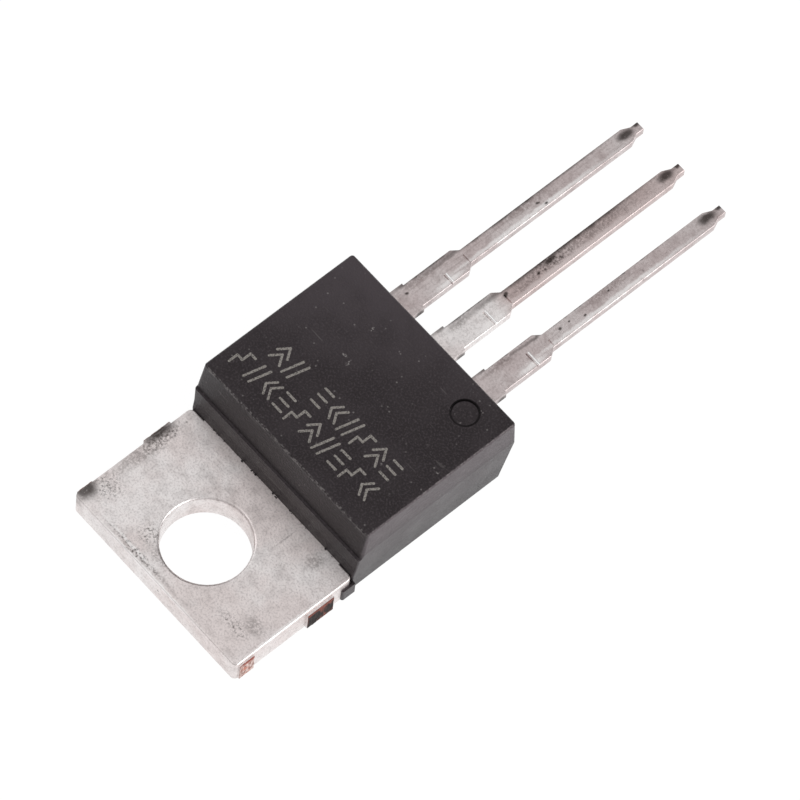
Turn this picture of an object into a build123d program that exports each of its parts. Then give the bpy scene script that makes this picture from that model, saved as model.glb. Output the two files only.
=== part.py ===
"""Three-lead moulded power package of a voltage regulator, built as the real one is.

A copper header carries the silicon die. Its tab has the mounting hole, and the middle
(output) lead grows out of it as one stamping. The two outer leads are held by the
moulded body alone and reach the die through bond wires.

Frame, in millimetres: the origin is the axis of the mounting hole on the back face of
the tab. +Y runs along the leads, +Z out of the marked front face.
"""

import os
from math import hypot

from build123d import *

# --- copper header and tab ---------------------------------------------------
TAB_SIDE_STAND = 0.08          # the tab's sides stand out past the moulding's back edges
TAB_THICKNESS = 1.27
TAB_END_MARGIN = 2.77          # hole axis to the free end
TAB_SHOULDER = 3.50            # hole axis to the moulded wall
TAB_CORNER_RADIUS = 0.20       # corners of the free end, seen from the front
SHOULDER_RADIUS = 0.25         # rounded corners next to the moulded wall
PUNCH_ROLL = 0.07              # rolled front edge of the stamping
HOLE_DIAMETER = 3.84
HOLE_ROLL = 0.12               # rolled front edge of the punched hole
HEADER_SIDE_COVER = 0.73       # moulding beside the header, at its back edges
HEADER_END_COVER = 1.80        # moulding between the header's inner end and the leads' wall
HEADER_ROOT = 1.00             # the header starts this far inside the tab's outline
LOCK_NOTCH_RADIUS = 0.45       # half-round notches that the moulding grips
LOCK_NOTCH_SETBACK = 1.30      # from the shoulder

# sheared ends of the bars that joined neighbouring tabs in the strip
TIE_BAR_STAND = 0.12
TIE_BAR_LENGTH = 1.40
TIE_BAR_START = 1.02           # along +Y from the hole axis
CORNER_BAR_LENGTH = 0.80
CORNER_BAR_STAND = 0.06
BAR_ROOT = 0.20                # bars are rooted this deep in the tab's sides
TIE_BAR_CUT_DEPTH = 0.16       # the shear line lies this far under the front face

# --- moulded body ------------------------------------------------------------
BODY_HEIGHT = 4.41
BODY_WIDTH_FRONT = 10.10
BODY_SIDE_BULGE = 0.07         # parting line stands out past the front edges
BODY_SIDE_TUCK = 0.12          # back edges lie inside the front edges
BODY_LENGTH_FRONT = 8.00
TAB_WALL_SETBACK = 0.54        # front edge of the tab-end wall, behind the shoulder
TAB_WALL_TOE_RISE = 0.55       # flared foot of that wall, over the tab
TAB_WALL_TOE_SETBACK = 0.10
TAB_WALL_SEAM_Z = 2.62         # seam line across the tab-end wall
TAB_WALL_SEAM_LOW = 0.16       # setback of the wall just under the seam
TAB_WALL_SEAM_HIGH = 0.26      # setback of the wall just over the seam
SEAM_RISE = 0.05
LEAD_WALL_BULGE = 0.06         # parting line stands out past the front edge
LEAD_WALL_TUCK = 0.40          # back edge lies inside the front edge
BODY_CORNER_RADIUS = 0.15      # upright corners in front of the parting line
BODY_FRONT_RADIUS = 0.12
BODY_BACK_CORNER_RADIUS = 0.08
EJECTOR_MARK_DIAMETER = 1.19
EJECTOR_MARK_DEPTH = 0.05
EJECTOR_MARK_FROM_SIDE = 1.69  # from the body's front edge on the +X side
EJECTOR_MARK_FROM_END = 1.29   # from the body's front edge at the lead end
FLASH_LENGTH = 0.58            # beads of flash beside the tab's shoulders
FLASH_THICKNESS = 0.75
FLASH_STAND = {-1: 0.02, 1: 0.11}
FLASH_RADIUS = 0.10

# --- leads -------------------------------------------------------------------
LEAD_PITCH = 2.54
LEAD_THICKNESS = 0.43
LEAD_FRONT_Z = 2.93            # front face of the leads, also the parting line
LEAD_WIDE = 1.25
LEAD_NARROW = 0.77
LEAD_TIP_WIDTH = 0.42
DAM_BAR_WIDTH = 1.42
DAM_BAR_LENGTH = 1.15          # sheared dam bar, from the moulded wall
WIDE_LENGTH = 3.70             # from the moulded wall to the shoulder
SHOULDER_LENGTH = 0.32
LEAD_LENGTH = 13.74            # from the moulded wall to the cut end
TIP_LENGTH = 0.79              # stepped tip with its shoulder, back from the cut end
TIP_SHOULDER_LENGTH = 0.40
LEAD_CORNER_RADIUS = 0.16
LEAD_EDGE_ROLL = 0.04
SCORE_WIDTH = 0.13
SCORE_DEPTH = 0.05
DENT_WIDTH = 0.12
DENT_DEPTH = 0.04

# the strip's tooling marked each lead a little differently; distances are from the
# moulded wall, and positions across a lead are from its middle
SCORE_FROM_WALL = {"adjust": 2.75, "output": 2.85, "input": 2.94}
SCORE_INNER_END = {"adjust": 0.10, "output": -0.13, "input": -0.13}
DENT_FROM_WALL = {"adjust": 3.99, "output": 4.05, "input": 4.09}
DENT_ENDS = {"adjust": (-0.11, 0.35), "output": (-0.18, 0.30), "input": (-0.01, 0.31)}

# --- inner ends of the leads -------------------------------------------------
POST_WIDTH = 2.05
POST_LENGTH = 1.25
POST_COVER = 0.85              # moulding between the post and the lead-end wall
RAMP_LENGTH = 0.50
RAMP_FOOT = 0.30
RAMP_BEND_RADIUS = 0.12
NECK_HEADER_OVERLAP = 0.50     # the neck runs this far into the header and the lead
NECK_LEAD_OVERLAP = 0.20

# --- die, solder and bond wires ----------------------------------------------
DIE_WIDTH = 3.60
DIE_LENGTH = 3.00
DIE_THICKNESS = 0.30
DIE_FROM_HEADER_END = 3.10     # die's middle, from the header's inner end
SOLDER_THICKNESS = 0.05
SOLDER_MARGIN = 0.15
POWER_WIRE_DIAMETER = 0.25
SIGNAL_WIRE_DIAMETER = 0.13
WIRE_FOOT = 0.36
WIRE_SEAT = 0.30               # height of the wire's axis over its pad, in diameters
WIRE_PAD_INSET = 0.55          # pads on the die, from its edge
WIRE_LOOP_RISE = 0.55          # top of the loop over the higher foot
WIRE_SLOPE_SHARE = 0.22        # each slope of the loop, as a share of its span
WIRE_BEND = 0.80               # bend radius, in diameters
WIRE_SPACING = 0.70
INPUT_PAD_SETBACK = 0.50       # pads of the input wires, behind the adjust wire's pad
HEADER_PAD_REACH = 1.10        # pads of the output wires, out from the die's sides

# --- margins used while cutting ----------------------------------------------
PICK = 0.01                    # an edge is picked within this much of its place
CLEAR = 1.00                   # a cutting shape runs this far past the piece

# --- derived sizes and places ------------------------------------------------
BODY_WIDTH_PARTING = BODY_WIDTH_FRONT + 2 * BODY_SIDE_BULGE
BODY_WIDTH_BACK = BODY_WIDTH_FRONT - 2 * BODY_SIDE_TUCK
TAB_WIDTH = BODY_WIDTH_BACK + 2 * TAB_SIDE_STAND
HEADER_WIDTH = BODY_WIDTH_BACK - 2 * HEADER_SIDE_COVER
NARROW_END = LEAD_LENGTH - TIP_LENGTH
FRONT_EDGE_TAB_Y = TAB_SHOULDER + TAB_WALL_SETBACK
FRONT_EDGE_LEAD_Y = FRONT_EDGE_TAB_Y + BODY_LENGTH_FRONT
PARTING_Y = FRONT_EDGE_LEAD_Y + LEAD_WALL_BULGE
BACK_EDGE_LEAD_Y = FRONT_EDGE_LEAD_Y - LEAD_WALL_TUCK
HEADER_END_Y = PARTING_Y - HEADER_END_COVER
LEAD_BACK_Z = LEAD_FRONT_Z - LEAD_THICKNESS
DIE_Y = HEADER_END_Y - DIE_FROM_HEADER_END
DIE_BACK_Z = TAB_THICKNESS + SOLDER_THICKNESS
DIE_FRONT_Z = DIE_BACK_Z + DIE_THICKNESS
POST_END_Y = PARTING_Y - POST_COVER
POST_START_Y = POST_END_Y - POST_LENGTH
ADJUST_X = -LEAD_PITCH
INPUT_X = LEAD_PITCH


def slab(x_low, x_high, y_low, y_high, z_low, z_high):
    """Box between two opposite corners."""
    size = (x_high - x_low, y_high - y_low, z_high - z_low)
    middle = ((x_low + x_high) / 2, (y_low + y_high) / 2, (z_low + z_high) / 2)
    return Pos(*middle) * Box(*size)


def plate(outline, z_low, z_high):
    """Flat plate over an outline drawn in the XY plane."""
    face = make_face(Polyline(*outline, close=True))
    return extrude(Pos(0, 0, z_low) * face, z_high - z_low)


def along_x(outline, half_width):
    """Prism over an outline of (y, z) points, centred on the YZ plane."""
    points = [(0, y, z) for y, z in outline]
    return extrude(make_face(Polyline(*points, close=True)), half_width, dir=(1, 0, 0), both=True)


def along_y(outline, y_low, y_high):
    """Prism over an outline of (x, z) points, from one y to another."""
    points = [(x, y_low, z) for x, z in outline]
    return extrude(make_face(Polyline(*points, close=True)), y_high - y_low, dir=(0, 1, 0))


def upright_edges(solid, low, high=None):
    """Edges parallel to Z at one y, or from one y to another."""
    last = low if high is None else high
    uprights = solid.edges().filter_by(Axis.Z)
    return [edge for edge in uprights if low - PICK < edge.center().Y < last + PICK]


def front_edges(solid, z):
    """Edges that lie flat at one height."""
    return [
        edge
        for edge in solid.edges()
        if abs(edge.bounding_box().min.Z - z) < 1e-4 and abs(edge.bounding_box().max.Z - z) < 1e-4
    ]


def stands_up(edge):
    """True for an edge that rises more than it runs."""
    span = (edge @ 1) - (edge @ 0)
    return abs(span.Z) > hypot(span.X, span.Y)


def reaches(edge, z):
    """True for an edge whose highest point is at or over z."""
    return edge.bounding_box().max.Z > z - 1e-3


def is_back_corner(edge):
    """True for a straight corner edge of the moulding that ends under its parting line."""
    is_corner = edge.geom_type == GeomType.LINE and edge.length > 2 * BODY_CORNER_RADIUS
    return is_corner and stands_up(edge) and not reaches(edge, LEAD_FRONT_Z + PICK)


def make_tab_plate():
    """The part of the stamping that shows in front of the moulding, with its hole."""
    half = TAB_WIDTH / 2
    tab = slab(-half, half, -TAB_END_MARGIN, TAB_SHOULDER, 0, TAB_THICKNESS)
    tab = fillet(upright_edges(tab, -TAB_END_MARGIN), TAB_CORNER_RADIUS)
    tab = fillet(upright_edges(tab, TAB_SHOULDER), SHOULDER_RADIUS)
    tab = fillet(front_edges(tab, TAB_THICKNESS), PUNCH_ROLL)
    hole = Pos(0, 0, TAB_THICKNESS / 2) * Cylinder(HOLE_DIAMETER / 2, TAB_THICKNESS)
    tab = tab - hole
    rim = [edge for edge in front_edges(tab, TAB_THICKNESS) if edge.geom_type == GeomType.CIRCLE]
    rim = [edge for edge in rim if abs(edge.radius - HOLE_DIAMETER / 2) < 1e-3]
    return fillet(rim, HOLE_ROLL)


def make_tie_bar_ends():
    """Sheared bar ends on both sides of the tab, and at the corners of its free end."""
    half = TAB_WIDTH / 2
    top = TAB_THICKNESS - TIE_BAR_CUT_DEPTH
    ends = []
    for side in (-1, 1):
        spans = [
            (TIE_BAR_START, TIE_BAR_START + TIE_BAR_LENGTH, TIE_BAR_STAND),
            (
                TAB_CORNER_RADIUS - TAB_END_MARGIN,
                TAB_CORNER_RADIUS - TAB_END_MARGIN + CORNER_BAR_LENGTH,
                CORNER_BAR_STAND,
            ),
        ]
        for y_low, y_high, stand in spans:
            x_inner = side * (half - BAR_ROOT)
            x_outer = side * (half + stand)
            ends.append(slab(min(x_inner, x_outer), max(x_inner, x_outer), y_low, y_high, 0, top))
    return ends


def make_header():
    """The part of the stamping inside the moulding, with its lock notches."""
    half = HEADER_WIDTH / 2
    header = slab(-half, half, TAB_SHOULDER - HEADER_ROOT, HEADER_END_Y, 0, TAB_THICKNESS)
    notch_y = TAB_SHOULDER + LOCK_NOTCH_SETBACK
    for side in (-1, 1):
        notch = Cylinder(LOCK_NOTCH_RADIUS, TAB_THICKNESS)
        header = header - Pos(side * half, notch_y, TAB_THICKNESS / 2) * notch
    return header


def lead_outline(wall_y):
    """Corners of one lead in front of the moulded wall, right half, from wall to tip."""
    return [
        (DAM_BAR_WIDTH / 2, wall_y),
        (DAM_BAR_WIDTH / 2, wall_y + DAM_BAR_LENGTH),
        (LEAD_WIDE / 2, wall_y + DAM_BAR_LENGTH),
        (LEAD_WIDE / 2, wall_y + WIDE_LENGTH),
        (LEAD_NARROW / 2, wall_y + WIDE_LENGTH + SHOULDER_LENGTH),
        (LEAD_NARROW / 2, wall_y + NARROW_END),
        (LEAD_TIP_WIDTH / 2, wall_y + NARROW_END + TIP_SHOULDER_LENGTH),
        (LEAD_TIP_WIDTH / 2, wall_y + LEAD_LENGTH),
    ]


def make_lead_blade(root_y):
    """One lead on the middle line, from inside the moulding at root_y to its cut tip."""
    right = lead_outline(PARTING_Y)
    right[0] = (DAM_BAR_WIDTH / 2, root_y)
    left = [(-x, y) for x, y in reversed(right)]
    blade = plate(right + left, LEAD_BACK_Z, LEAD_FRONT_Z)
    tip_shoulder_y = PARTING_Y + NARROW_END + TIP_SHOULDER_LENGTH
    shoulders = upright_edges(blade, PARTING_Y + WIDE_LENGTH, tip_shoulder_y)
    blade = fillet(shoulders, LEAD_CORNER_RADIUS)
    past_dam_bar = PARTING_Y + DAM_BAR_LENGTH + PICK
    rolled = [edge for edge in front_edges(blade, LEAD_FRONT_Z) if edge.center().Y > past_dam_bar]
    return fillet(rolled, LEAD_EDGE_ROLL)


def make_groove(x_low, x_high, y, width, depth):
    """Wedge that cuts a shallow groove across the front face of a lead."""
    section = [
        (y - width / 2, LEAD_FRONT_Z + depth),
        (y + width / 2, LEAD_FRONT_Z + depth),
        (y, LEAD_FRONT_Z - depth),
    ]
    middle = (x_low + x_high) / 2
    return Pos(middle, 0, 0) * along_x(section, (x_high - x_low) / 2)


def make_lead(name, root_y):
    """A blade with its scored line and its dent."""
    score_y = PARTING_Y + SCORE_FROM_WALL[name]
    score = make_groove(SCORE_INNER_END[name], LEAD_WIDE, score_y, SCORE_WIDTH, SCORE_DEPTH)
    dent_low, dent_high = DENT_ENDS[name]
    dent_y = PARTING_Y + DENT_FROM_WALL[name]
    dent = make_groove(dent_low, dent_high, dent_y, DENT_WIDTH, DENT_DEPTH)
    return make_lead_blade(root_y) - score - dent


def make_output_neck():
    """Thin neck that rises from the header's inner end to the plane of the leads."""
    header_z = TAB_THICKNESS - LEAD_THICKNESS / 2
    lead_z = LEAD_FRONT_Z - LEAD_THICKNESS / 2
    foot_y = HEADER_END_Y + RAMP_FOOT
    top_y = foot_y + RAMP_LENGTH
    line = FilletPolyline(
        (0, HEADER_END_Y - NECK_HEADER_OVERLAP, header_z),
        (0, foot_y, header_z),
        (0, top_y, lead_z),
        (0, PARTING_Y + NECK_LEAD_OVERLAP, lead_z),
        radius=RAMP_BEND_RADIUS + LEAD_THICKNESS / 2,
    )
    start = Plane(origin=line @ 0, x_dir=(1, 0, 0), z_dir=line % 0)
    return sweep(start * Rectangle(DAM_BAR_WIDTH, LEAD_THICKNESS), path=line)


def make_tab_with_output_lead():
    """Tab, header and middle lead, stamped and bent from one strip of copper."""
    piece = make_tab_plate() + make_header()
    for bar in make_tie_bar_ends():
        piece = piece + bar
    return piece + make_output_neck() + make_lead("output", PARTING_Y)


def make_outer_lead(name, x):
    """Outer lead with the bonding post at its inner end."""
    half = POST_WIDTH / 2
    post = slab(-half, half, POST_START_Y, POST_END_Y, LEAD_BACK_Z, LEAD_FRONT_Z)
    return Pos(x, 0, 0) * (make_lead(name, POST_END_Y) + post)


def make_solder():
    """Layer of solder that bonds the die to the header."""
    half_x = DIE_WIDTH / 2 + SOLDER_MARGIN
    half_y = DIE_LENGTH / 2 + SOLDER_MARGIN
    return slab(-half_x, half_x, DIE_Y - half_y, DIE_Y + half_y, TAB_THICKNESS, DIE_BACK_Z)


def make_die():
    """Silicon die on its solder."""
    half_x = DIE_WIDTH / 2
    half_y = DIE_LENGTH / 2
    return slab(-half_x, half_x, DIE_Y - half_y, DIE_Y + half_y, DIE_BACK_Z, DIE_FRONT_Z)


def make_wire(start, end, diameter, pads):
    """Bond wire between two pads, looped in an upright plane, its feet pressed flat."""
    seat = WIRE_SEAT * diameter
    run = hypot(end[0] - start[0], end[1] - start[1])
    along = ((end[0] - start[0]) / run, (end[1] - start[1]) / run)
    z_start = start[2] + seat
    z_end = end[2] + seat
    z_top = max(z_start, z_end) + WIRE_LOOP_RISE
    slope = run * WIRE_SLOPE_SHARE
    stations = [
        (-WIRE_FOOT / 2, z_start),
        (WIRE_FOOT / 2, z_start),
        (WIRE_FOOT / 2 + slope, z_top),
        (run - WIRE_FOOT / 2 - slope, z_top),
        (run - WIRE_FOOT / 2, z_end),
        (run + WIRE_FOOT / 2, z_end),
    ]
    points = [(start[0] + along[0] * s, start[1] + along[1] * s, z) for s, z in stations]
    line = FilletPolyline(*points, radius=diameter * WIRE_BEND)
    wire = sweep(Plane(origin=line @ 0, z_dir=line % 0) * Circle(diameter / 2), path=line)
    for pad in pads:
        wire = wire - pad
    return wire


def make_wires(tab, adjust_lead, input_lead, die):
    """All bond wires by name: one to the adjust lead, two to the input lead, two to the header."""
    post_y = (POST_START_Y + POST_END_Y) / 2
    near_y = DIE_Y + DIE_LENGTH / 2 - WIRE_PAD_INSET
    far_y = DIE_Y - DIE_LENGTH / 2 + WIRE_PAD_INSET
    side_x = DIE_WIDTH / 2 - WIRE_PAD_INSET
    wires = {}
    wires["adjust_bond_wire"] = make_wire(
        (-side_x, near_y, DIE_FRONT_Z),
        (ADJUST_X, post_y, LEAD_FRONT_Z),
        SIGNAL_WIRE_DIAMETER,
        (die, adjust_lead),
    )
    for index, name in enumerate(("input_bond_wire_a", "input_bond_wire_b")):
        offset = index * WIRE_SPACING
        wires[name] = make_wire(
            (side_x - WIRE_SPACING + offset, near_y - INPUT_PAD_SETBACK, DIE_FRONT_Z),
            (INPUT_X - WIRE_SPACING / 2 + offset, post_y, LEAD_FRONT_Z),
            POWER_WIRE_DIAMETER,
            (die, input_lead),
        )
    for side, name in ((-1, "output_bond_wire_a"), (1, "output_bond_wire_b")):
        x = side * (DIE_WIDTH / 2 + HEADER_PAD_REACH)
        wires[name] = make_wire(
            (side * side_x, far_y, DIE_FRONT_Z),
            (x, far_y, TAB_THICKNESS),
            POWER_WIRE_DIAMETER,
            (die, tab),
        )
    return wires


def make_body_shell():
    """Outer form of the moulding, drafted both ways from its parting line."""
    side_view = [
        (TAB_SHOULDER, 0),
        (TAB_SHOULDER, TAB_THICKNESS),
        (TAB_SHOULDER + TAB_WALL_TOE_SETBACK, TAB_THICKNESS + TAB_WALL_TOE_RISE),
        (TAB_SHOULDER + TAB_WALL_SEAM_LOW, TAB_WALL_SEAM_Z),
        (TAB_SHOULDER + TAB_WALL_SEAM_HIGH, TAB_WALL_SEAM_Z + SEAM_RISE),
        (FRONT_EDGE_TAB_Y, BODY_HEIGHT),
        (FRONT_EDGE_LEAD_Y, BODY_HEIGHT),
        (PARTING_Y, LEAD_FRONT_Z),
        (BACK_EDGE_LEAD_Y, 0),
    ]
    end_view = [
        (-BODY_WIDTH_BACK / 2, 0),
        (BODY_WIDTH_BACK / 2, 0),
        (BODY_WIDTH_PARTING / 2, LEAD_FRONT_Z),
        (BODY_WIDTH_FRONT / 2, BODY_HEIGHT),
        (-BODY_WIDTH_FRONT / 2, BODY_HEIGHT),
        (-BODY_WIDTH_PARTING / 2, LEAD_FRONT_Z),
    ]
    shell = along_x(side_view, BODY_WIDTH_PARTING) & along_y(end_view, 0, PARTING_Y + CLEAR)
    front_corners = [edge for edge in shell.edges() if stands_up(edge) and reaches(edge, BODY_HEIGHT)]
    shell = fillet(front_corners, BODY_CORNER_RADIUS)
    shell = fillet(front_edges(shell, BODY_HEIGHT), BODY_FRONT_RADIUS)
    back_corners = [edge for edge in shell.edges() if is_back_corner(edge)]
    return fillet(back_corners, BODY_BACK_CORNER_RADIUS)


def make_flash(side):
    """Bead of moulding compound squeezed out beside one shoulder of the tab."""
    inner_x = side * (TAB_WIDTH / 2 - SHOULDER_RADIUS)
    outer_x = side * (TAB_WIDTH / 2 + FLASH_STAND[side])
    x_low = min(inner_x, outer_x)
    x_high = max(inner_x, outer_x)
    y_low = TAB_SHOULDER - FLASH_LENGTH
    bead = slab(x_low, x_high, y_low, TAB_SHOULDER + FLASH_RADIUS, 0, FLASH_THICKNESS)
    outer = bead.edges().filter_by(Axis.Z).sort_by(lambda edge: side * edge.center().X)[-2:]
    return fillet(outer.sort_by(Axis.Y)[0], FLASH_RADIUS)


def make_mould_body(embedded):
    """Moulding, cut exactly to every piece that it holds."""
    body = make_body_shell() + make_flash(-1) + make_flash(1)
    mark_x = BODY_WIDTH_FRONT / 2 - EJECTOR_MARK_FROM_SIDE
    mark_y = FRONT_EDGE_LEAD_Y - EJECTOR_MARK_FROM_END
    mark = Cylinder(EJECTOR_MARK_DIAMETER / 2, 2 * EJECTOR_MARK_DEPTH)
    body = body - Pos(mark_x, mark_y, BODY_HEIGHT) * mark
    for piece in embedded:
        body = body - piece
    return body


def build():
    """Every piece by node name."""
    tab = make_tab_with_output_lead()
    adjust_lead = make_outer_lead("adjust", ADJUST_X)
    input_lead = make_outer_lead("input", INPUT_X)
    solder = make_solder()
    die = make_die()
    wires = make_wires(tab, adjust_lead, input_lead, die)
    pieces = {
        "tab_with_output_lead": tab,
        "adjust_lead": adjust_lead,
        "input_lead": input_lead,
        "die_solder": solder,
        "silicon_die": die,
    }
    pieces.update(wires)
    pieces["moulded_body"] = make_mould_body(list(pieces.values()))
    return pieces


os.makedirs("parts", exist_ok=True)
for name, solid in build().items():
    export_step(solid, f"parts/{name}.step")
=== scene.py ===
"""Looks of a three-lead moulded power package: epoxy body, tinned copper tab and leads."""

import logging
import math
import random
from dataclasses import dataclass, field
from enum import Enum
from typing import Any

import bmesh
import bpy
from mathutils import Matrix, Vector, noise


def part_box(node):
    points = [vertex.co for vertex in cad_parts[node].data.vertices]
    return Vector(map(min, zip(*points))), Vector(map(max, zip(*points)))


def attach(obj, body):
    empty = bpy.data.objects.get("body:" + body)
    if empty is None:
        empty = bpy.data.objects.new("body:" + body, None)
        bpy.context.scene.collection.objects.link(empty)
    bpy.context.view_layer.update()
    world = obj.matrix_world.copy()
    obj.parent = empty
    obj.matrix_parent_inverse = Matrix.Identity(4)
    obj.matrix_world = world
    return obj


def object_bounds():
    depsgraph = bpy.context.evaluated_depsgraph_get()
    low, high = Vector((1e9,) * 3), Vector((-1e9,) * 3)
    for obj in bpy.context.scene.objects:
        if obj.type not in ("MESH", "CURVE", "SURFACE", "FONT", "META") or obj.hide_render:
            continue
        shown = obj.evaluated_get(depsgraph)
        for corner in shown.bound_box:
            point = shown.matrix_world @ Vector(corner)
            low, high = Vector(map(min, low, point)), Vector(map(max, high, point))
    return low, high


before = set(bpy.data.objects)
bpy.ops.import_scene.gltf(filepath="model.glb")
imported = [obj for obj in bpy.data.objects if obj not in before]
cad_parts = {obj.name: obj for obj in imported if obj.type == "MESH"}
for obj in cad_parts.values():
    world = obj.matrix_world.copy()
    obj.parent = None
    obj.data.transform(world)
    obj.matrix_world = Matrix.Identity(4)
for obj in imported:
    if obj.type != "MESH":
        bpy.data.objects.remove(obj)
CAD_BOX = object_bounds()

MM = 0.001
ROOT = "root"
LOG = logging.getLogger("regulator")
TAB_HALF_WIDTH = 5.01  # millimetres, without the stubs of the sheared bars
RING_CORE = 0.4  # share of a soft ring's width that is at full strength


class Side(Enum):
    """The two long sides of the package, by the sign of X."""

    LEFT = -1
    RIGHT = 1


def linear(hex_colour: str) -> tuple[float, float, float, float]:
    """Turns an sRGB colour to linear light.

    Args:
        hex_colour: Six hex digits with a leading hash.

    Returns:
        Red, green, blue and an alpha of 1.
    """
    parts = [int(hex_colour[i : i + 2], 16) / 255 for i in (1, 3, 5)]
    red, green, blue = (c / 12.92 if c <= 0.04045 else ((c + 0.055) / 1.055) ** 2.4 for c in parts)
    return (red, green, blue, 1.0)


def per_mm(size_mm: float) -> float:
    """Texture scale at which one feature of a pattern is this many millimetres wide."""
    return 1.0 / (size_mm * MM)


class ShaderTree:
    """Node tree of one material."""

    def __init__(self, name: str) -> None:
        """Starts an empty tree with its output and its object coordinates.

        Args:
            name: Name of the material.
        """
        self.material = bpy.data.materials.new(name)
        self.material.use_nodes = True
        self.tree = self.material.node_tree
        self.tree.nodes.clear()
        self.place = self.add("TexCoord", out="Object")

    def add(self, kind: str, links: dict | None = None, out: str | int = 0, **settings: Any) -> Any:
        """Adds a node with its settings and links.

        Args:
            kind: Node type without its ShaderNode prefix.
            links: A socket to link, or a constant to set, for each input by name or index.
            out: Name or index of the output to return.
            settings: Properties of the node.

        Returns:
            The chosen output socket, or the node where it has no outputs.
        """
        node = self.tree.nodes.new("ShaderNode" + kind)
        for key, value in settings.items():
            setattr(node, key, value)
        for key, value in (links or {}).items():
            if isinstance(value, bpy.types.NodeSocket):
                self.tree.links.new(value, node.inputs[key])
            else:
                node.inputs[key].default_value = value
        return node.outputs[out] if node.outputs else node

    def grain(self, size_mm: float, detail: float = 2.0, rough: float = 0.5, place: Any = None) -> Any:
        """Noise whose features are about size_mm wide, from 0 to 1."""
        links = {"Vector": place or self.place, "Scale": per_mm(size_mm)}
        return self.add("TexNoise", links | {"Detail": detail, "Roughness": rough}, out="Fac")

    def band(self, value: Any, low: float, high: float, start: float = 0.0, end: float = 1.0) -> Any:
        """Maps a value from low..high to start..end, smoothly and clamped."""
        links = {"Value": value, "From Min": low, "From Max": high, "To Min": start, "To Max": end}
        return self.add("MapRange", links, interpolation_type="SMOOTHSTEP")

    def band_mm(self, value: Any, low: float, high: float, start: float = 0.0, end: float = 1.0) -> Any:
        """The same map as band, for a length whose limits are in millimetres."""
        return self.band(value, low * MM, high * MM, start, end)

    def warped(self, size_mm: float, amount_mm: float) -> Any:
        """Object coordinates pushed about by noise, for uneven outlines.

        Args:
            size_mm: Width of the noise's features in millimetres.
            amount_mm: About the furthest push along each axis, in millimetres.

        Returns:
            The pushed coordinates.
        """
        links = {"Vector": self.place, "Scale": per_mm(size_mm), "Detail": 3.0}
        cloud = self.add("TexNoise", links, out="Color")
        centred = self.add("VectorMath", {0: cloud, 1: (0.5, 0.5, 0.5)}, operation="SUBTRACT")
        links = {0: centred, 1: (2 * amount_mm * MM,) * 3, 2: self.place}
        return self.add("VectorMath", links, operation="MULTIPLY_ADD")

    def spot(self, place: Any, centre: tuple, radii: tuple, edge: float = 0.5) -> Any:
        """Soft oval patch at a place on the piece.

        Args:
            place: Coordinates that the patch is drawn in.
            centre: Middle of the patch in millimetres.
            radii: Its half sizes along X, Y and Z in millimetres.
            edge: Share of the radius over which it fades.

        Returns:
            A mask, 1 in the middle and 0 outside.
        """
        scale = tuple(1 / (r * MM) for r in radii)
        shift = tuple(-c / r for c, r in zip(centre, radii))
        inside = self.add("VectorMath", {0: place, 1: scale, 2: shift}, operation="MULTIPLY_ADD")
        far = self.add("VectorMath", {0: inside}, out="Value", operation="LENGTH")
        return self.band(far, 1.0, 1.0 - edge)

    def off_ring(self, centre: tuple, radius: float) -> Any:
        """Distance from a ring that is the same at every height.

        Args:
            centre: Middle of the ring, X and Y in millimetres.
            radius: Its radius in millimetres, or 0 for the distance from the middle itself.

        Returns:
            The distance in millimetres, never negative.
        """
        links = {0: self.place, 1: (1 / MM, 1 / MM, 0), 2: (-centre[0], -centre[1], 0)}
        flat = self.add("VectorMath", links, operation="MULTIPLY_ADD")
        far = self.add("VectorMath", {0: flat}, out="Value", operation="LENGTH")
        off = self.add("Math", {0: far, 1: radius}, operation="SUBTRACT")
        return self.add("Math", {0: off}, operation="ABSOLUTE")

    def ring(self, centre: tuple, radius: float, width: float) -> Any:
        """Soft ring, 1 on its line and 0 past its width, in millimetres."""
        return self.band(self.off_ring(centre, radius), width, width * RING_CORE)

    def most(self, masks: list) -> Any:
        """The strongest of several masks at each point.

        Args:
            masks: One mask or more.

        Returns:
            The combined mask.
        """
        top = masks[0]
        for mask in masks[1:]:
            top = self.add("Math", {0: top, 1: mask}, operation="MAXIMUM")
        return top

    def scaled(self, value: Any, by: Any) -> Any:
        """Product of two values."""
        return self.add("Math", {0: value, 1: by}, operation="MULTIPLY")

    def mix(self, share: Any, first: Any, second: Any, blend: str = "MIX") -> Any:
        """Mixes two colours, each a socket or a linear colour."""
        return self.add("MixRGB", {0: share, 1: first, 2: second}, blend_type=blend)

    def finish(
        self, colour: Any, roughness: Any, height: Any, depth_mm: float, **fixed: Any
    ) -> bpy.types.Material:
        """Ends the tree in a Principled shader.

        Args:
            colour: Base colour socket.
            roughness: Roughness socket or number.
            height: Bump height socket from 0 to 1.
            depth_mm: Height of the relief in millimetres.
            fixed: Constants for the shader's own sockets, with spaces as underscores.

        Returns:
            The finished material.
        """
        bump = self.add("Bump", {"Height": height, "Distance": depth_mm * MM, "Strength": 1.0}, out="Normal")
        links = {key.replace("_", " "): value for key, value in fixed.items()}
        links |= {"Base Color": colour, "Roughness": roughness, "Normal": bump}
        shader = self.add("BsdfPrincipled", links)
        self.add("OutputMaterial", {"Surface": shader})
        return self.material


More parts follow.
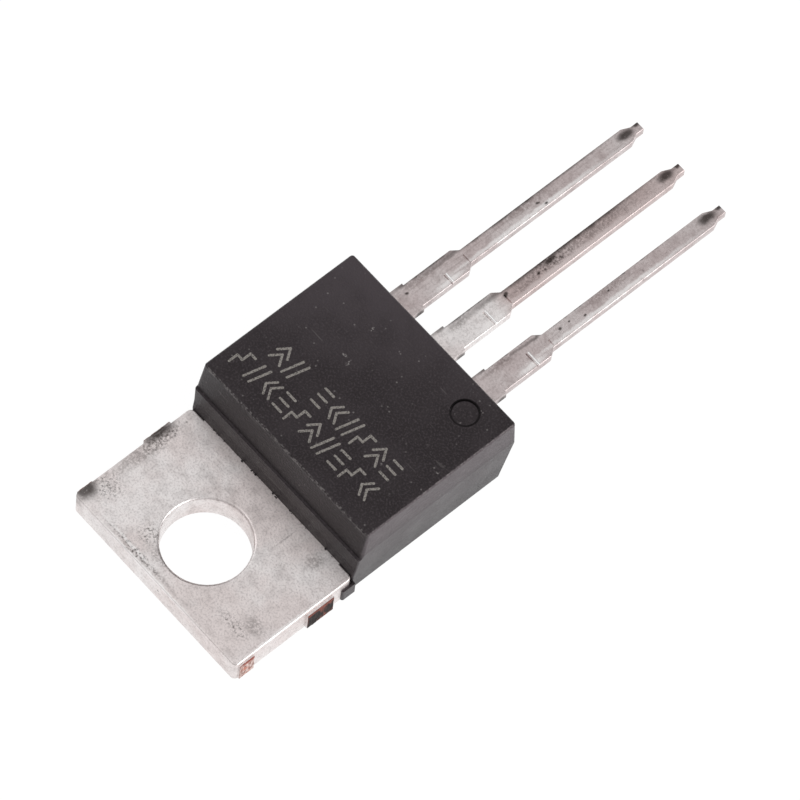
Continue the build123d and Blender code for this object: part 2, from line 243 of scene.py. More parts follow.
@dataclass(frozen=True)
class MouldedEpoxy:
    """Silica-filled black epoxy, transfer moulded in a spark-eroded die.

    The eroded die leaves an even matt grain, the filler gives pale specks where the
    skin is rubbed, and handling leaves thin light scratches.
    """

    black: str = "#080607"
    filler: str = "#322e30"
    # Pale tone of wear on the epoxy, also painted along the top edges as a highlight.
    wear_and_highlight: str = "#8f8b89"
    # Lighter tone towards -X and +Y, away from the camera.
    far_tone: str = "#3a3538"
    sheen: str = "#ffeef4"
    # Painted reflection on the +X wall, lighter towards its top.
    side_reflection_tone: str = "#4f484b"
    # Painted shade: a near-black ring at the edge of the ejector mark's recess.
    mark_rim_shade: str = "#030303"
    mark_middle: tuple = (3.36, 10.75)
    mark_radius: float = 0.595
    mark_width: float = 0.075
    mark_z: tuple = (4.0, 4.3)
    front_z: float = 4.41
    # Heights of the top edge band, painted with wear and a painted highlight.
    fold_start: tuple = (4.20, 4.33)
    fold_end: tuple = (4.406, 4.385)
    clear_of_mark: tuple = (0.7, 0.9)
    # Where that painted reflection lies across X and up Z, in millimetres.
    reflection_x: tuple = (4.98, 5.05)
    reflection_z: tuple = (2.5, 3.6)
    # Direction and span of that lightening; the span is in millimetres.
    lightening_way: tuple = (-0.55, 0.83)
    lightening_span: tuple = (6.0, 12.5)
    scuff_depth: float = 0.4
    scuff_edge: float = 0.7
    scuffs: tuple = (
        ((-1.72, 8.72), (0.22, 0.10)),
        ((-1.35, 8.60), (0.08, 0.20)),
        ((-1.9, 10.35), (0.07, 0.16)),
        ((4.70, 8.10), (0.10, 0.07)),
        ((3.75, 11.30), (0.12, 0.05)),
    )
    grain_mm: float = 0.09
    cloud_mm: float = 1.6
    speck_cell_mm: float = 0.30
    hair_mm: float = 0.22
    hair_turn: float = 0.62
    relief_mm: float = 0.030
    ior: float = 1.46

    def build(self) -> bpy.types.Material:
        """Builds the material.

        Returns:
            The material.
        """
        s = ShaderTree("moulded_black_epoxy")
        grain = s.grain(self.grain_mm, 3.0, 0.6)
        cloud = s.grain(self.cloud_mm, 3.0, 0.6)
        links = {"Vector": s.place, "Scale": per_mm(self.speck_cell_mm)}
        cells = s.add("TexVoronoi", links, out="Distance")
        specks = s.scaled(s.band(cells, 0.20, 0.06), s.band(s.grain(0.7), 0.50, 0.62))
        links = {"Vector": s.place, "Rotation": (0, 0, self.hair_turn), "Scale": (0.10, 1, 1)}
        stretched = s.add("Mapping", links)
        hairs = s.band(s.grain(self.hair_mm, 1.0, 0.4, stretched), 0.735, 0.76)
        worn = s.warped(0.3, 0.12)
        scuffs = s.most(
            [
                s.spot(worn, (*middle, self.front_z), (*radii, self.scuff_depth), self.scuff_edge)
                for middle, radii in self.scuffs
            ]
        )
        ragged = s.scaled(scuffs, s.band(s.grain(0.09, 2.0), 0.42, 0.62))
        colour = s.mix(s.band(grain, 0.46, 0.70), linear(self.black), linear(self.filler))
        colour = s.mix(s.scaled(s.band(cloud, 0.35, 0.75), 0.35), colour, linear(self.filler))
        # The top turns lighter in clouds towards -X and +Y, away from the camera.
        way = (*(share / MM for share in self.lightening_way), 0)
        along = s.add("VectorMath", {0: s.place, 1: way}, out="Value", operation="DOT_PRODUCT")
        far_lightening = s.scaled(s.band(along, *self.lightening_span), s.band(cloud, 0.2, 0.6, 0.6, 1.0))
        colour = s.mix(far_lightening, colour, linear(self.far_tone))
        height_z = s.add("SeparateXYZ", {0: s.place}, out="Z")
        # Top edge band: worn spots together with a painted highlight, kept off the ejector mark.
        fold = s.scaled(s.band_mm(height_z, *self.fold_start), s.band_mm(height_z, *self.fold_end))
        fold = s.scaled(fold, s.band(s.off_ring(self.mark_middle, 0), *self.clear_of_mark))
        fold_wear_and_highlight = s.scaled(fold, s.band(s.grain(0.12, 3.0, 0.65), 0.40, 0.68))
        colour = s.mix(s.scaled(fold_wear_and_highlight, 0.55), colour, linear(self.wear_and_highlight))
        # Painted reflection: the +X wall lighter, most near its top.
        side_x = s.add("SeparateXYZ", {0: s.place}, out="X")
        low_side = s.band_mm(height_z, *self.reflection_z, 0.35, 1.0)
        side_reflection = s.scaled(s.band_mm(side_x, *self.reflection_x), low_side)
        colour = s.mix(s.scaled(side_reflection, s.band(grain, 0.3, 0.6, 0.5, 1.0)), colour, linear(self.side_reflection_tone))
        # Painted shade: a dark ring at the edge of the ejector mark's recess, on the top face only.
        rim_shade = s.ring(self.mark_middle, self.mark_radius, self.mark_width)
        rim_shade = s.scaled(rim_shade, s.band_mm(height_z, *self.mark_z))
        colour = s.mix(s.scaled(rim_shade, 0.95), colour, linear(self.mark_rim_shade))
        colour = s.mix(s.scaled(specks, 0.40), colour, linear(self.wear_and_highlight))
        colour = s.mix(s.scaled(hairs, 0.12), colour, linear(self.wear_and_highlight))
        colour = s.mix(s.scaled(ragged, 0.75), colour, linear(self.wear_and_highlight))
        rough = s.band(cloud, 0.3, 0.7, 0.34, 0.42)
        # The same ring of painted shade lowers the specular level.
        shine = s.band(s.scaled(rim_shade, s.band(cloud, 0.3, 0.6, 0.5, 1.0)), 0.0, 1.0, 0.5, 0.14)
        tint = linear(self.sheen)
        return s.finish(
            colour, rough, grain, self.relief_mm, IOR=self.ior, Specular_Tint=tint, Specular_IOR_Level=shine
        )


@dataclass(frozen=True)
class TinPlate:
    """Dull tin electroplated on copper, then stamped, handled and lightly tarnished.

    Dull tin scatters a broad soft reflection. Its crystals show as fine mottling, and
    oxide worn by rubbing and trim dust as grey and brown stains. The stain, highlight,
    smut and pepper patches are each a centre and its half sizes in millimetres: grey
    stains; painted highlights on the +X sides of the leads and the -Y and +X edges of
    the tab; sooty dirt, and along the -X edges of the leads painted shade; and sooty
    dirt broken into dots. The plate turns duller past dull_past along Y, where that isn't 0.
    """

    name: str
    tin: str = "#f3eeed"
    warm: str = "#e9dfdd"
    tarnish: str = "#8d8583"
    # Colour of sooty dirt, also used for painted shade along the -X lead edges.
    soot_and_shade_tone: str = "#37302d"
    # Colour of the painted highlights.
    wear_and_highlight: str = "#fbf7f6"
    rough_low: float = 0.34
    rough_high: float = 0.52
    crystal_mm: float = 0.09
    mottle_mm: float = 0.55
    cloud_mm: float = 2.6
    pit_cell_mm: float = 0.55
    line_mm: float = 0.12
    tatter_mm: float = 0.10
    tatter_band: float = 0.26
    relief_mm: float = 0.008
    mottled: float = 0.24
    streaks: float = 0.0
    painted_highlights: tuple = ()
    dull_past: float = 0.0
    dulled: str = "#e0d6d5"
    stains: tuple = ()
    soot_and_edge_shade: tuple = ()
    pepper: tuple = ()

    def build(self) -> bpy.types.Material:
        """Builds the material.

        Returns:
            The material.
        """
        s = ShaderTree(self.name)
        crystals = s.grain(self.crystal_mm, 2.0, 0.6)
        mottle = s.grain(self.mottle_mm, 4.0, 0.62)
        cloud = s.grain(self.cloud_mm, 3.0, 0.55)
        worn = s.warped(0.35, 0.10)
        colour = s.mix(s.band(cloud, 0.35, 0.65), linear(self.tin), linear(self.warm))
        colour = s.mix(s.scaled(s.band(mottle, 0.44, 0.80), self.mottled), colour, linear(self.tarnish))
        colour = s.mix(s.scaled(s.band(crystals, 0.42, 0.70), 0.30), colour, linear(self.tarnish))
        links = {"Vector": s.place, "Scale": per_mm(self.pit_cell_mm)}
        cells = s.add("TexVoronoi", links, out="Distance")
        pits = s.scaled(s.band(cells, 0.15, 0.06), s.band(s.grain(0.9), 0.57, 0.64))
        colour = s.mix(s.scaled(pits, 0.6), colour, linear(self.soot_and_shade_tone))
        if self.streaks:
            drawn = s.add("Mapping", {"Vector": s.place, "Scale": (1, 0.06, 1)})
            lines = s.band(s.grain(self.line_mm, 3.0, 0.6, drawn), 0.50, 0.72)
            colour = s.mix(s.scaled(lines, self.streaks), colour, linear(self.tarnish))
        # Patches, their colour, its strength, and the noise level at which they break up.
        layers = (
            (self.stains, self.tarnish, 0.60, 0.34),
            # Painted highlights.
            (self.painted_highlights, self.wear_and_highlight, 0.85, 0.20),
            # Sooty dirt, with painted shade along the -X lead edges.
            (self.soot_and_edge_shade, self.soot_and_shade_tone, 0.88, 0.16),
            (self.pepper, self.soot_and_shade_tone, 0.95, 0.46),
        )
        for patches, tint, strength, ragged in layers:
            if patches:
                mask = s.most([s.spot(worn, centre, radii, 0.75) for centre, radii in patches])
                tatter = s.band(s.grain(self.tatter_mm, 4.0, 0.7), ragged, ragged + self.tatter_band)
                uneven = s.scaled(mask, tatter)
                colour = s.mix(s.scaled(uneven, strength), colour, linear(tint))
        if self.dull_past:
            along = s.add("SeparateXYZ", {0: s.place}, out="Y")
            far = s.band_mm(along, self.dull_past - 1, self.dull_past)
            colour = s.mix(far, colour, linear(self.dulled), "MULTIPLY")
        rough = s.band(mottle, 0.3, 0.7, self.rough_low, self.rough_high)
        height = s.add("Math", {0: s.scaled(crystals, 0.5), 1: s.scaled(mottle, 0.5)}, operation="ADD")
        return s.finish(colour, rough, height, self.relief_mm, Metallic=1.0)


@dataclass(frozen=True)
class ShearedCopper:
    """Copper torn by the trim die: no plating, brown oxide, black where it was burnished."""

    name: str = "sheared_copper"
    copper: str = "#8a4f44"
    oxide: str = "#241614"
    black: str = "#0b0808"
    pale: str = "#9a8c87"
    lip: str = "#7f4438"
    tear_mm: float = 0.13
    patch_mm: float = 0.45
    lip_z: tuple = (0.86, 1.02)
    relief_mm: float = 0.02

    def build(self) -> bpy.types.Material:
        """Builds the material.

        Returns:
            The material.
        """
        s = ShaderTree(self.name)
        torn = s.add("Mapping", {"Vector": s.place, "Scale": (1, 1, 0.35)})
        tear = s.grain(self.tear_mm, 4.0, 0.7, torn)
        patch = s.grain(self.patch_mm, 3.0, 0.6)
        colour = s.mix(s.band(tear, 0.38, 0.60), linear(self.black), linear(self.oxide))
        colour = s.mix(s.scaled(s.band(patch, 0.52, 0.66), 0.7), colour, linear(self.copper))
        colour = s.mix(s.scaled(s.band(tear, 0.62, 0.72), 0.55), colour, linear(self.pale))
        height = s.add("SeparateXYZ", {0: s.place}, out="Z")
        lip = s.scaled(s.band_mm(height, *self.lip_z), s.band(patch, 0.35, 0.6, 0.4, 1.0))
        colour = s.mix(lip, colour, linear(self.lip))
        return s.finish(colour, 0.6, tear, self.relief_mm, Specular_IOR_Level=0.2)


@dataclass(frozen=True)
class LaserMark:
    """Epoxy foamed pale by a marking laser: a rough, dotted grey line."""

    pale: str = "#8c8782"
    burnt: str = "#4a4644"
    dot_mm: float = 0.07
    relief_mm: float = 0.006

    def build(self) -> bpy.types.Material:
        """Builds the material.

        Returns:
            The material.
        """
        s = ShaderTree("laser_marked_epoxy")
        dots = s.grain(self.dot_mm, 2.0, 0.6)
        colour = s.mix(s.band(dots, 0.32, 0.56), linear(self.burnt), linear(self.pale))
        return s.finish(colour, 0.8, dots, self.relief_mm, IOR=1.45)


@dataclass(frozen=True)
class PlainMetal:
    """Plain even metal: solder, drawn aluminium wire or burnished tin."""

    name: str
    light: str
    dark: str
    grain_mm: float
    roughness: float
    relief_mm: float = 0.002

    def build(self) -> bpy.types.Material:
        """Builds the material.

        Returns:
            The material.
        """
        s = ShaderTree(self.name)
        grain = s.grain(self.grain_mm, 3.0)
        colour = s.mix(s.band(grain, 0.4, 0.7), linear(self.light), linear(self.dark))
        return s.finish(colour, self.roughness, grain, self.relief_mm, Metallic=1.0)


@dataclass(frozen=True)
class PolishedSilicon:
    """Polished silicon chip with its metal tracks seen as a faint grid of blocks."""

    bare: str = "#23262c"
    tracks: str = "#6d7178"
    block_mm: float = 1.2
    relief_mm: float = 0.001

    def build(self) -> bpy.types.Material:
        """Builds the material.

        Returns:
            The material.
        """
        s = ShaderTree("polished_silicon")
        links = {"Vector": s.place, "Scale": per_mm(self.block_mm)}
        blocks = s.add("TexBrick", links, out="Fac")
        colour = s.mix(blocks, linear(self.tracks), linear(self.bare))
        return s.finish(colour, 0.2, blocks, self.relief_mm, Metallic=0.4)


def shade(piece: bpy.types.Object, material: bpy.types.Material) -> None:
    """Gives a piece one material."""
    piece.data.materials.clear()
    piece.data.materials.append(material)


def publish(mesh: bmesh.types.BMesh, name: str, material: bpy.types.Material) -> None:
    """Makes a piece of a finished mesh, and ties it to the frame.

    Args:
        mesh: The mesh, in metres, in the frame's own place.
        name: Name of the piece.
        material: Its material.
    """
    bmesh.ops.recalc_face_normals(mesh, faces=mesh.faces)
    data = bpy.data.meshes.new(name)
    mesh.to_mesh(data)
    mesh.free()
    piece = bpy.data.objects.new(name, data)
    bpy.context.collection.objects.link(piece)
    shade(piece, material)
    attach(piece, ROOT)
    LOG.info("piece %s: %d faces", name, len(data.polygons))


@dataclass
class FrontMarking:
    """Two rows of generic laser-marked signs on the front face, and no lettering.

    Sizes are in millimetres. A sign is a list of strokes in a cell whose corners are
    (0, 0) and (1, 1), and a stroke runs from one point to another. A dash in a row leaves
    its cell empty.
    """

    front_z: float
    stroke: float = 0.115
    sign_height: float = 0.98
    sign_width: float = 0.62
    pitch: float = 0.845
    proud: float = 0.002
    sunk: float = 0.02
    step: float = 0.0008
    row_start_x: float = 3.72
    first_row_y: float = 5.40
    second_row_y: float = 6.72
    first_row: str = "darts steps rungs slants fork steps rungs darts slants steps"
    second_row: str = "rungs fork steps slants darts rungs - slants fork"
    signs: dict = field(
        default_factory=lambda: {
            "rungs": (((0.1, 0.1), (0.9, 0.1)), ((0.1, 0.5), (0.9, 0.5)), ((0.1, 0.9), (0.9, 0.9))),
            "slants": (((0.0, 0.0), (0.4, 1.0)), ((0.55, 0.0), (0.95, 1.0))),
            "darts": (
                ((0.0, 0.1), (0.45, 0.5)),
                ((0.45, 0.5), (0.0, 0.9)),
                ((0.5, 0.1), (0.95, 0.5)),
                ((0.95, 0.5), (0.5, 0.9)),
            ),
            "steps": (
                ((0.0, 0.1), (0.5, 0.1)),
                ((0.5, 0.1), (0.5, 0.55)),
                ((0.5, 0.55), (1.0, 0.55)),
                ((1.0, 0.55), (1.0, 1.0)),
            ),
            "fork": (
                ((0.0, 0.9), (0.5, 0.45)),
                ((1.0, 0.9), (0.5, 0.45)),
                ((0.0, 0.45), (0.5, 0.0)),
                ((1.0, 0.45), (0.5, 0.0)),
            ),
        }
    )

    def add_stroke(self, mesh: bmesh.types.BMesh, start: Vector, end: Vector, layer: int) -> None:
        """Adds one flat stroke with round ends, as a closed slab.

        Args:
            mesh: Mesh that takes it.
            start: One end of its middle line, in millimetres.
            end: The other end.
            layer: Place in its sign; each stroke lies a hair over the one before.
        """
        run = end - start
        turn = Matrix.Rotation(math.atan2(run.y, run.x), 4, "Z")
        disc = bmesh.ops.create_circle(mesh, cap_ends=True, segments=12, radius=self.stroke / 2)["verts"]
        bmesh.ops.translate(mesh, verts=[v for v in disc if v.co.x > 0], vec=(run.length, 0, 0))
        face = disc[0].link_faces[0]
        top = bmesh.ops.extrude_face_region(mesh, geom=[face])["geom"]
        raised = [v for v in top if isinstance(v, bmesh.types.BMVert)]
        bmesh.ops.translate(mesh, verts=raised, vec=(0, 0, self.sunk + self.proud + layer * self.step))
        place = Matrix.Translation((start.x, start.y, self.front_z - self.sunk)) @ turn
        bmesh.ops.transform(mesh, matrix=place, verts=disc + raised)

    def in_cell(self, left: float, y: float, corner: tuple) -> Vector:
        """Place of a cell's point, from the cell's +X edge and its middle along Y."""
        u, v = corner
        return Vector((left - u * self.sign_width, y + (0.5 - v) * self.sign_height, 0))

    def build_row(self, name: str, row: str, y: float, material: bpy.types.Material) -> None:
        """Builds one row of signs, read from +X to -X.

        Args:
            name: Name of the piece.
            row: Its signs, with spaces between them.
            y: Middle of the row in millimetres.
            material: Its material.
        """
        mesh = bmesh.new()
        for index, sign in enumerate(row.split()):
            left = self.row_start_x - index * self.pitch
            for layer, (start, end) in enumerate(self.signs.get(sign, ())):
                self.add_stroke(mesh, self.in_cell(left, y, start), self.in_cell(left, y, end), layer)
        bmesh.ops.scale(mesh, vec=(MM, MM, MM), verts=mesh.verts)
        publish(mesh, name, material)

    def build(self, material: bpy.types.Material) -> None:
        """Builds both rows."""
        self.build_row("laser_marks_first_row", self.first_row, self.first_row_y, material)
        self.build_row("laser_marks_second_row", self.second_row, self.second_row_y, material)


@dataclass
class TrimScars:
    """Torn copper where the bars between neighbouring tabs were sheared off."""

    half_width: float
    bar_y: tuple = (1.04, 2.40)
    corner_y: tuple = (-2.55, -1.79)
    bar_height: float = 1.10
    bar_stand: float = 0.12
    corner_stand: float = 0.06
    skin: float = 0.012
    skin_lift: float = 1.4
    relief: float = 0.014
    tear_pitch: tuple = (7, 3)
    tear_limit: float = 0.8
    foot: float = 0.002
    cell: float = 0.04

    def build_scar(
        self, name: str, side: Side, span: tuple, stand: float, material: bpy.types.Material
    ) -> None:
        """Builds one scar as a thin plate with a torn outer face.

        Args:
            name: Name of the piece.
            side: Side of the tab.
            span: Its ends along Y in millimetres.
            stand: How far the bar's end stands out of the tab.
            material: Its material.
        """
        length = span[1] - span[0]
        pitch_y, pitch_z = self.tear_pitch
        mesh = bmesh.new()
        counts = (max(2, round(length / self.cell)), max(2, round(self.bar_height / self.cell)))
        bmesh.ops.create_grid(mesh, x_segments=counts[0], y_segments=counts[1], size=0.5)
        bmesh.ops.scale(mesh, vec=(length, self.bar_height, 1), verts=mesh.verts)
        extruded = bmesh.ops.extrude_face_region(mesh, geom=mesh.faces[:])["geom"]
        outer = [v for v in extruded if isinstance(v, bmesh.types.BMVert)]
        for vert in outer:
            place = Vector((vert.co.x * pitch_y, vert.co.y * pitch_z, side.value))
            torn = max(-self.tear_limit, min(self.tear_limit, noise.fractal(place, 0.7, 2.0, 4)))
            vert.co.z = self.skin_lift * self.skin + self.relief * (1 + torn)
        upright = Matrix(((0, 0, side.value, 0), (side.value, 0, 0, 0), (0, 1, 0, 0), (0, 0, 0, 1)))
        out = side.value * (self.half_width + stand - self.skin)
        middle = (out, sum(span) / 2, self.bar_height / 2 + self.foot)
        bmesh.ops.transform(mesh, matrix=Matrix.Translation(middle) @ upright, verts=mesh.verts)
        bmesh.ops.scale(mesh, vec=(MM, MM, MM), verts=mesh.verts)
        publish(mesh, name, material)

    def build(self, burnt: bpy.types.Material, fresh: bpy.types.Material) -> None:
        """Builds the scars on both sides.

        Args:
            burnt: Material of the bars, browned by oxide.
            fresh: Material of the corners, where the copper is fresher.
        """
        for side in Side:
            label = side.name.lower()
            self.build_scar(f"sheared_bar_{label}", side, self.bar_y, self.bar_stand, burnt)
            self.build_scar(f"sheared_corner_{label}", side, self.corner_y, self.corner_stand, fresh)


@dataclass
class ScoreRidge:
    """Bright ridge pushed up beside the line scored across a lead."""

    front_z: float
    width: float = 0.09
    height: float = 0.022
    half_lead: float = 0.60

    def build(
        self, name: str, x: float, y: float, inner: float, slot: str, material: bpy.types.Material
    ) -> None:
        """Builds one ridge as a closed oval bar, half of it sunk in the lead.

        Args:
            name: Name of the lead that carries it.
            x: Middle of that lead.
            y: Middle of the ridge along the lead.
            inner: Where it starts, from the lead's middle.
            slot: Material slot of the lead; not used.
            material: Its material.
        """
        length = self.half_lead - inner
        mesh = bmesh.new()
        bmesh.ops.create_cone(
            mesh, cap_ends=True, segments=16, radius1=self.width / 2, radius2=self.width / 2, depth=length
        )
        flat = Matrix.Diagonal((1, 1, 2 * self.height / self.width, 1))
        place = Matrix.Translation((x + inner + length / 2, y, self.front_z))
        turn = Matrix.Rotation(math.pi / 2, 4, "Y")
        bmesh.ops.transform(mesh, matrix=place @ flat @ turn, verts=mesh.verts)
        bmesh.ops.scale(mesh, vec=(MM, MM, MM), verts=mesh.verts)
        publish(mesh, f"{name}_score_ridge", material)


@dataclass
class FlashCrumbs:
    """Crumbs of moulding compound left on the tab along the foot of the moulding."""

    wall_y: float
    front_z: float
    half_width: float
    count: int = 26
    low: float = 0.02
    high: float = 0.055
    off_wall: tuple = (-0.2, 1.2)
    lumpy: tuple = (0.75, 1.2)
    flattened: tuple = (1.3, 0.8, 0.6)
    seed: int = 7

    def build(self, material: bpy.types.Material) -> None:
        """Builds the crumbs as one piece of small closed lumps.

        Args:
            material: Their material.
        """
        draw = random.Random(self.seed)
        flat = Matrix.Diagonal((*self.flattened, 1))
        mesh = bmesh.new()
        for _ in range(self.count):
            radius = draw.uniform(self.low, self.high)
            x = draw.uniform(-self.half_width, self.half_width)
            y = self.wall_y - draw.uniform(*self.off_wall) * radius
            lump = bmesh.ops.create_icosphere(mesh, subdivisions=1, radius=radius)["verts"]
            for vert in lump:
                vert.co *= draw.uniform(*self.lumpy)
            place = Matrix.Translation((x, y, self.front_z))
            bmesh.ops.transform(mesh, matrix=place @ flat, verts=lump)
        bmesh.ops.scale(mesh, vec=(MM, MM, MM), verts=mesh.verts)
        publish(mesh, "flash_crumbs", material)


@dataclass
class Package:
    """The whole package: dresses the fixed pieces and adds the surface details."""

    front_z: float
    tab_half_width: float
    tab_front_z: float = 1.27
    shoulder_y: float = 3.50
    lead_pitch: float = 2.54
    lead_front_z: float = 2.93
    crumb_margin: float = 0.1
    dam_edge: float = 0.74
    dam_y: float = 13.0
    dam_z: float = 2.55
    dam_reach: float = 0.42
    ridges: tuple = (
        ("adjust", -1, 14.97, 0.10, "tinned_lead"),
        ("output", 0, 15.07, -0.13, "tinned_copper"),
        ("input", 1, 15.16, -0.13, "tinned_lead"),
    )

    def dam_smut(self, x: float, width: float) -> tuple:
        """Soot on a lead's +X edge where its dam bar was cut, as a centre and half sizes."""
        return ((x + self.dam_edge, self.dam_y, self.dam_z), (width, self.dam_reach, self.dam_reach))

    def tab_finish(self) -> TinPlate:
        """Tin plate of the tab and the output lead, with its stains, painted highlights and
        painted shade in place.

        Returns:
            The finish.
        """
        z = self.tab_front_z
        lead = self.lead_front_z
        soot_and_edge_shade = (
            ((-4.95, -2.25, z), (0.75, 0.80, 1.2)),
            ((-5.05, 1.75, z), (0.50, 1.15, 0.8)),
            ((-0.10, 25.05, lead), (0.30, 0.66, 0.4)),
            ((-0.16, 25.72, lead), (0.18, 0.26, 0.4)),
            ((-0.22, 18.70, lead), (0.20, 0.55, 0.3)),
            ((-0.05, 17.90, lead), (0.10, 0.14, 0.3)),
            ((-0.16, 16.20, lead), (0.20, 0.18, 0.3)),
            # Painted shade along the -X edge of the output lead.
            ((-0.44, 19.60, lead), (0.30, 7.40, 0.4)),
            ((-0.68, 14.40, lead), (0.22, 2.60, 0.4)),
            self.dam_smut(0.0, 0.26),
        )
        stains = (
            ((-4.70, 0.80, z), (0.60, 2.60, 0.6)),
            ((4.10, -1.00, z), (0.80, 0.50, 0.6)),
            ((3.50, 2.80, z), (0.50, 0.60, 0.6)),
            ((-0.6, -1.9, z), (0.90, 0.45, 0.6)),
            ((1.95, 2.45, z), (0.06, 0.80, 0.5)),
            ((-1.0, -2.5, z), (3.20, 0.14, 0.5)),
            ((-0.10, 20.60, lead), (0.42, 4.60, 0.3)),
            ((0.0, 17.2, lead), (0.40, 1.20, 0.3)),
            ((-0.35, 13.9, lead), (0.30, 0.80, 0.3)),
        )
        # Painted highlights on the +X side of the output lead and the -Y and +X edges of the tab.
        painted_highlights = (
            ((0.29, 19.4, lead), (0.20, 6.6, 0.3)),
            ((0.45, 14.9, lead), (0.20, 1.1, 0.3)),
            ((-0.5, -2.74, z), (4.6, 0.10, 0.2)),
            ((-2.0, -2.45, z), (2.4, 0.10, 0.2)),
            ((4.95, -0.2, z), (0.10, 3.2, 0.2)),
        )
        pepper = (
            ((-1.70, -1.55, z), (0.75, 0.70, 0.5)),
            ((-4.40, -1.50, z), (0.90, 0.90, 0.5)),
            ((-4.70, 1.60, z), (0.55, 1.50, 0.5)),
            ((-1.60, -2.50, z), (2.20, 0.28, 0.5)),
            ((3.60, -1.60, z), (1.10, 0.40, 0.5)),
            ((-0.10, 18.60, lead), (0.40, 1.50, 0.3)),
        )
        return TinPlate(
            "dull_tin_plate", stains=stains, soot_and_edge_shade=soot_and_edge_shade, pepper=pepper, painted_highlights=painted_highlights, dull_past=16.4
        )

    def lead_finish(self, name: str, x: float, spots: tuple, shaded_edge_width: float, streaks: float) -> TinPlate:
        """Tin plate of one outer lead.

        Args:
            name: Name of its material.
            x: Middle of the lead.
            spots: Small smuts as (offset across, y, half size) in millimetres.
            shaded_edge_width: Width of the painted shade along the -X edge in millimetres; the dam smut is
                sized from it too.
            streaks: Strength of its drawn lines.

        Returns:
            The finish.
        """
        z = self.lead_front_z
        soot_and_edge_shade = [((x - 0.08, 25.05, z), (0.30, 0.66, 0.4)), ((x - 0.16, 25.72, z), (0.18, 0.26, 0.4))]
        soot_and_edge_shade += [((x + across, y, z), (size, size * 1.3, 0.3)) for across, y, size in spots]
        # Painted shade along the -X edge of the lead.
        soot_and_edge_shade += [((x - 0.44, 19.6, z), (shaded_edge_width, 7.2, 0.4)), ((x - 0.68, 14.4, z), (shaded_edge_width, 2.6, 0.4))]
        stains = (((x - 0.42, 14.0, z), (0.30, 1.6, 0.3)), ((x - 0.2, 19.5, z), (0.25, 2.2, 0.3)))
        soot_and_edge_shade += [self.dam_smut(x, shaded_edge_width + 0.04)]
        # Painted highlights along the +X side of the lead.
        painted_highlights = (((x + 0.27, 19.4, z), (0.15, 6.4, 0.3)), ((x + 0.45, 14.9, z), (0.20, 1.1, 0.3)))
        return TinPlate(
            name,
            tin="#d9d0cf",
            warm="#cfc2c1",
            tarnish="#8b7c7a",
            stains=stains,
            soot_and_edge_shade=tuple(soot_and_edge_shade),
            painted_highlights=painted_highlights,
            mottled=0.42,
            streaks=streaks,
        )

    def dress(self) -> None:
        """Gives every fixed piece its material."""
        wire = PlainMetal("drawn_aluminium_wire", "#d5d7d9", "#b9bcbf", 0.05, 0.25).build()
        adjust_spots = ((0.02, 20.1, 0.10), (0.26, 20.35, 0.09), (-0.2, 13.1, 0.10))
        input_spots = ((-0.1, 16.9, 0.10), (0.1, 18.1, 0.08), (-0.15, 19.6, 0.08), (-0.1, 17.4, 0.07))
        adjust = self.lead_finish(
            "tin_plate_adjust", -self.lead_pitch, adjust_spots, shaded_edge_width=0.22, streaks=0.3
        )
        power = self.lead_finish("tin_plate_input", self.lead_pitch, input_spots, shaded_edge_width=0.13, streaks=0.2)
        finishes = {
            "moulded_body": MouldedEpoxy().build(),
            "tab_with_output_lead": self.tab_finish().build(),
            "adjust_lead": adjust.build(),
            "input_lead": power.build(),
            "silicon_die": PolishedSilicon().build(),
            "die_solder": PlainMetal("dull_solder", "#a9a9ab", "#7f7f82", 0.12, 0.5).build(),
        }
        for name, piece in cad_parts.items():
            shade(piece, finishes.get(name, wire))
            LOG.info("dressed %s", name)

    def build(self) -> None:
        """Dresses the package and adds its details."""
        self.dress()
        FrontMarking(self.front_z).build(LaserMark().build())
        fresh = ShearedCopper(
            "fresh_sheared_copper",
            copper="#c88372",
            oxide="#d3c0ba",
            black="#8a6258",
            pale="#e6dedb",
            lip="#8f3f30",
        )
        TrimScars(self.tab_half_width).build(ShearedCopper().build(), fresh.build())
        ridge = ScoreRidge(self.lead_front_z)
        bright = PlainMetal("burnished_tin", "#ffffff", "#efe9e8", 0.06, 0.35).build()
        for name, place, y, inner, slot in self.ridges:
            ridge.build(name, place * self.lead_pitch, y, inner, slot, bright)
        crumb_half_width = self.tab_half_width - self.crumb_margin
        crumbs = FlashCrumbs(self.shoulder_y, self.tab_front_z, crumb_half_width)
        crumbs.build(bpy.data.materials["moulded_black_epoxy"])


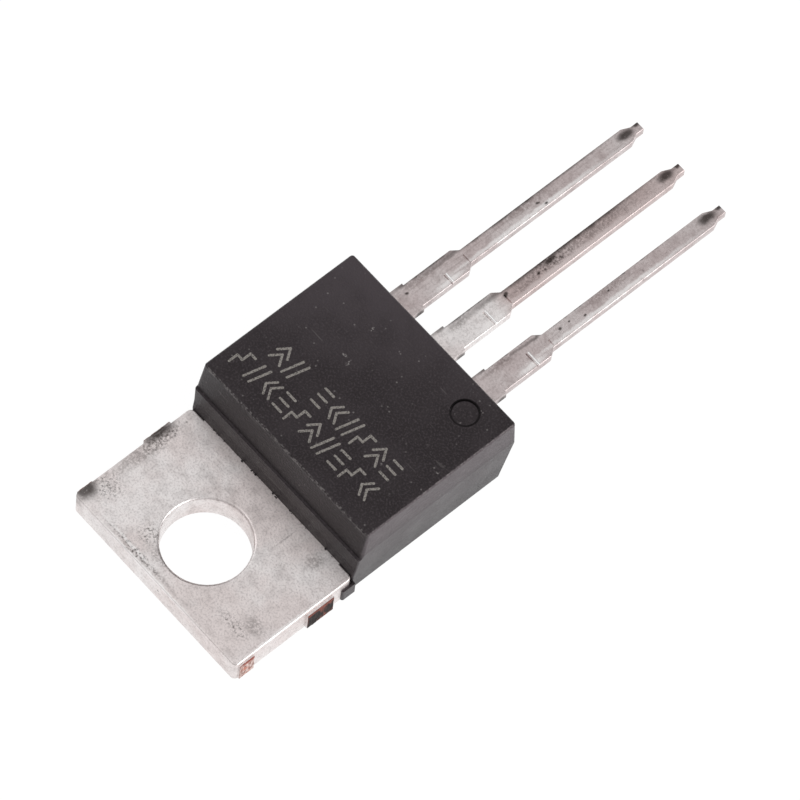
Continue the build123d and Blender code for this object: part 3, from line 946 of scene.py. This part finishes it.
@dataclass
class Studio:
    """White table, plain soft light and the camera.

    The camera's angles, the point it looks at and its distance in millimetres give the view
    from the package's front, with the tab near and the leads far.
    """

    floor_size: float = 6.0
    clearance: float = 0.00005
    shadow_share: float = 0.10
    paper: str = "#f4f4f4"
    glow: float = 1.06
    world_level: float = 0.528
    azimuth: float = math.radians(41.99)
    elevation: float = math.radians(62.81)
    roll: float = math.radians(7.64)
    target: tuple = (0.246, 10.206, 1.5)
    distance: float = 313.14
    lens: float = 344.4

    def build_floor(self) -> None:
        """Lays a white table that keeps a faint shadow and is clear from its underside."""
        mesh = bmesh.new()
        bmesh.ops.create_grid(mesh, x_segments=1, y_segments=1, size=self.floor_size / 2)
        bmesh.ops.translate(mesh, verts=mesh.verts, vec=(0, 0, CAD_BOX[0][2] - self.clearance))
        data = bpy.data.meshes.new("floor")
        mesh.to_mesh(data)
        mesh.free()
        floor = bpy.data.objects.new("floor", data)
        bpy.context.collection.objects.link(floor)
        s = ShaderTree("white_table")
        path = s.add("LightPath", out="Is Camera Ray")
        rays = path.node.outputs
        seen = s.add("Math", {0: rays["Is Camera Ray"], 1: rays["Is Glossy Ray"]}, operation="MAXIMUM")
        seen = s.add("Math", {0: seen, 1: rays["Is Transmission Ray"]}, operation="MAXIMUM")
        share = s.scaled(seen, 1 - self.shadow_share)
        paper = s.add("BsdfDiffuse", {"Color": linear(self.paper)})
        glow = s.add("Emission", {"Color": (1, 1, 1, 1), "Strength": self.glow})
        front = s.add("MixShader", {0: share, 1: paper, 2: glow})
        behind = s.add("NewGeometry", out="Backfacing")
        surface = s.add("MixShader", {0: behind, 1: front, 2: s.add("BsdfTransparent")})
        s.add("OutputMaterial", {"Surface": surface})
        shade(floor, s.material)

    def build_world(self) -> None:
        """Sets a plain pale surround, white where the camera sees it."""
        world = bpy.data.worlds.new("surround")
        bpy.context.scene.world = world
        world.use_nodes = True
        tree = world.node_tree
        tree.nodes.clear()
        path = tree.nodes.new("ShaderNodeLightPath")
        level = tree.nodes.new("ShaderNodeMapRange")
        level.inputs["To Min"].default_value = self.world_level
        level.inputs["To Max"].default_value = 1.0
        back = tree.nodes.new("ShaderNodeBackground")
        back.inputs["Color"].default_value = (1, 1, 1, 1)
        out = tree.nodes.new("ShaderNodeOutputWorld")
        tree.links.new(path.outputs["Is Camera Ray"], level.inputs["Value"])
        tree.links.new(level.outputs["Result"], back.inputs["Strength"])
        tree.links.new(back.outputs["Background"], out.inputs["Surface"])

    def build_lamp(self, name: str, towards: tuple, far: float, size: float, watts: float) -> None:
        """Adds a square soft lamp that faces the package.

        Args:
            name: Name of the lamp.
            towards: Direction from the package to the lamp.
            far: Its distance in metres.
            size: Its side in metres.
            watts: Its power.
        """
        light = bpy.data.lights.new(name, "AREA")
        light.size = size
        light.energy = watts
        lamp = bpy.data.objects.new(name, light)
        way = Vector(towards).normalized()
        lamp.location = Vector(self.target) * MM + way * far
        lamp.rotation_euler = way.to_track_quat("Z", "Y").to_euler()
        bpy.context.collection.objects.link(lamp)

    def build_camera(self) -> None:
        """Places the camera."""
        data = bpy.data.cameras.new("camera")
        data.lens = self.lens
        data.clip_start = 0.01
        data.clip_end = 50.0
        camera = bpy.data.objects.new("camera", data)
        level = math.cos(self.elevation)
        across, along = math.sin(self.azimuth) * level, -math.cos(self.azimuth) * level
        back = Vector((across, along, math.sin(self.elevation)))
        right = Vector((math.cos(self.azimuth), math.sin(self.azimuth), 0))
        up = back.cross(right)
        right, up = (
            math.cos(self.roll) * right + math.sin(self.roll) * up,
            math.cos(self.roll) * up - math.sin(self.roll) * right,
        )
        turn = Matrix((right, up, back)).transposed().to_4x4()
        camera.matrix_world = Matrix.Translation((Vector(self.target) + back * self.distance) * MM) @ turn
        bpy.context.collection.objects.link(camera)
        bpy.context.scene.camera = camera

    def build(self) -> None:
        """Builds floor, surround, lamps and camera."""
        self.build_floor()
        self.build_world()
        self.build_lamp("key_lamp", towards=(0.89, 0.34, 0.42), far=0.30, size=0.30, watts=0.75)
        self.build_lamp("top_lamp", towards=(-0.55, -0.1, 0.80), far=0.60, size=0.50, watts=0.7)
        self.build_camera()
        bpy.context.scene.view_settings.view_transform = "Standard"


def main() -> None:
    """Builds the studio and the package."""
    logging.basicConfig(level=logging.INFO, format="%(name)s: %(message)s")
    Studio().build()
    _, body_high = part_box("moulded_body")
    Package(front_z=body_high[2] / MM, tab_half_width=TAB_HALF_WIDTH).build()


if __name__ == "__main__":
    main()
